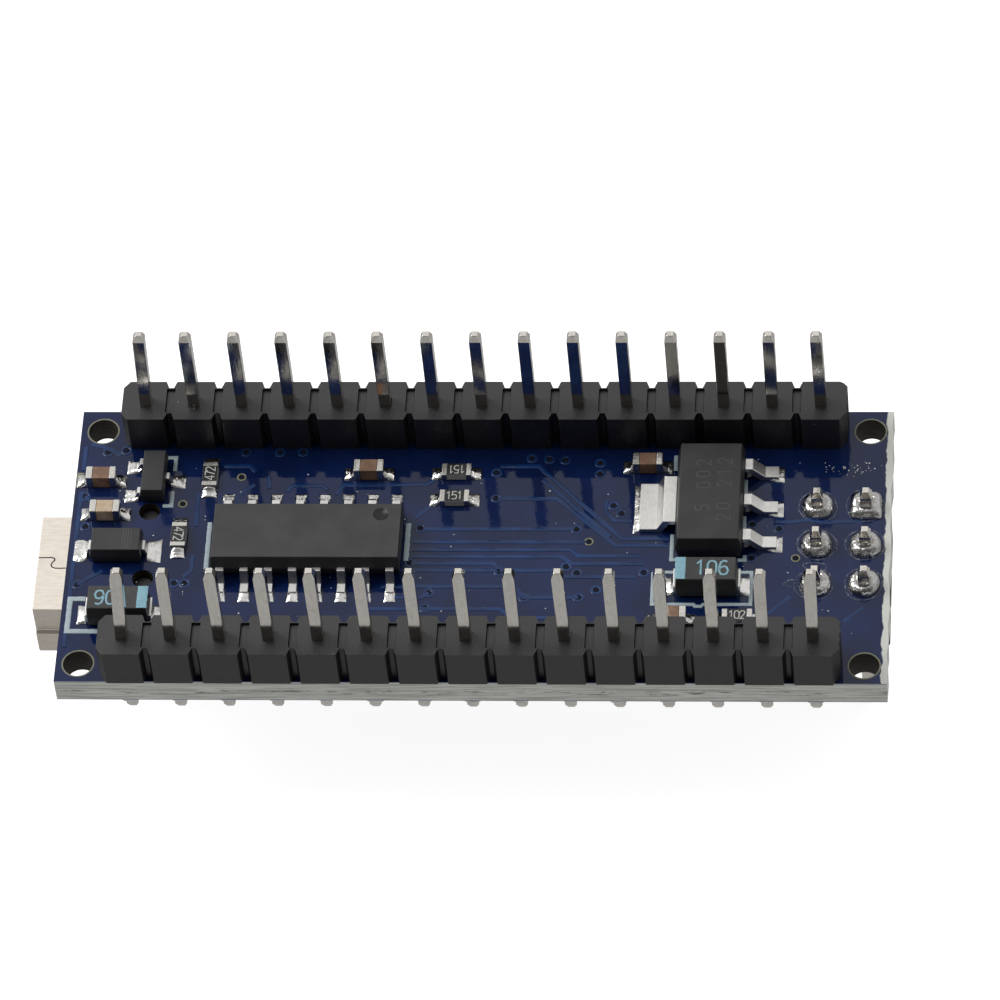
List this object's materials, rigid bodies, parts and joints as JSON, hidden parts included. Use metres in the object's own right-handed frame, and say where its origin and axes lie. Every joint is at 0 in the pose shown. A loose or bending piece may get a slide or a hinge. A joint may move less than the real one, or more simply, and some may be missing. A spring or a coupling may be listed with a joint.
{
  "type": "microcontroller dev board",
  "caption": "Narrow microcontroller development board with two soldered header pin rows, a small USB socket, a programming header and a sprung reset button.",
  "frame": {"origin": "centre of the four mounting holes, on the board face that the header strips stand on", "axes": "+X along the board towards the programming header (-X towards the USB socket), +Z out of the board along the header pins, so the microcontroller, reset button and USB socket are on the -Z side"},
  "size_m": [0.0449, 0.0179, 0.0183],
  "materials": {
    "board_laminate": "glossy blue solder mask",
    "header_plastic": "satin black moulding",
    "pin_metal": "tin plated",
    "solder": "bright solder",
    "socket_metal": "nickel plated sheet",
    "socket_plastic": "matte black moulding",
    "contact_gold": "gold flashed",
    "chip_moulding": "matte black epoxy",
    "regulator_moulding": "matte charcoal epoxy",
    "lead_metal": "tin plated",
    "tantalum_moulding": "matte black epoxy with a pale polarity band",
    "capacitor_ceramic": "brown fired ceramic",
    "resistor_glaze": "black glaze on white alumina",
    "end_cap_metal": "tin plated",
    "resonator_ceramic": "pale ceramic",
    "cover_metal": "pressed stainless sheet",
    "switch_plastic": "matte black moulding",
    "dome_metal": "spring steel",
    "button_plastic": "ivory moulding",
    "led_base": "white laminate",
    "led_lens": "clear resin"
  },
  "bodies": {
    "board_assembly": {"capacitor_end_caps": "end_cap_metal", "ceramic_capacitor_1": "capacitor_ceramic", "ceramic_capacitor_2": "capacitor_ceramic", "ceramic_capacitor_3": "capacitor_ceramic", "ceramic_capacitor_4": "capacitor_ceramic", "ceramic_capacitor_5": "capacitor_ceramic", "chip_resistor_1": "resistor_glaze", "chip_resistor_2": "resistor_glaze", "chip_resistor_3": "resistor_glaze", "chip_resistor_4": "resistor_glaze", "chip_resistor_5": "resistor_glaze", "circuit_board": "board_laminate", "diode_body": "chip_moulding", "diode_leads": "lead_metal", "header_pins_far": "pin_metal", "header_pins_near": "pin_metal", "header_solder_far": "solder", "header_solder_near": "solder", "header_strip_far": "header_plastic", "header_strip_near": "header_plastic", "indicator_led_bases": "led_base", "indicator_led_lenses": "led_lens", "interface_chip_body": "chip_moulding", "interface_chip_leads": "lead_metal", "interface_chip_solder": "solder", "microcontroller_body": "chip_moulding", "microcontroller_leads": "lead_metal", "microcontroller_solder": "solder", "pin_side_solder": "solder", "programming_header_block": "header_plastic", "programming_header_pins": "pin_metal", "programming_header_solder": "solder", "regulator_body": "regulator_moulding", "regulator_leads": "lead_metal", "regulator_solder": "solder", "regulator_tab": "lead_metal", "reset_switch_base": "switch_plastic", "reset_switch_cover": "cover_metal", "reset_switch_dome": "dome_metal", "reset_switch_terminals": "lead_metal", "resistor_array_bodies": "resistor_glaze", "resistor_array_end_caps": "end_cap_metal", "resistor_end_caps": "end_cap_metal", "resonator_base": "resonator_ceramic", "resonator_lid": "cover_metal", "tantalum_capacitor_left": "tantalum_moulding", "tantalum_capacitor_right": "tantalum_moulding", "tantalum_terminals_left": "lead_metal", "tantalum_terminals_right": "lead_metal", "transistor_body": "chip_moulding", "transistor_leads": "lead_metal", "under_capacitor_bodies": "capacitor_ceramic", "under_capacitor_end_caps": "end_cap_metal", "under_side_solder": "solder", "usb_contacts": "contact_gold", "usb_housing": "socket_metal", "usb_insulator": "socket_plastic", "usb_solder": "solder"},
    "reset_button": {"reset_plunger": "button_plastic"}
  },
  "joints": [
    {"name": "reset_press", "type": "slide", "parent": "board_assembly", "child": "reset_button", "axis": [0, 0, 1], "range_m": [0, 0.00025], "stiffness_N_per_m": 6000, "deforming": ["reset_switch_dome"]}
  ]
}
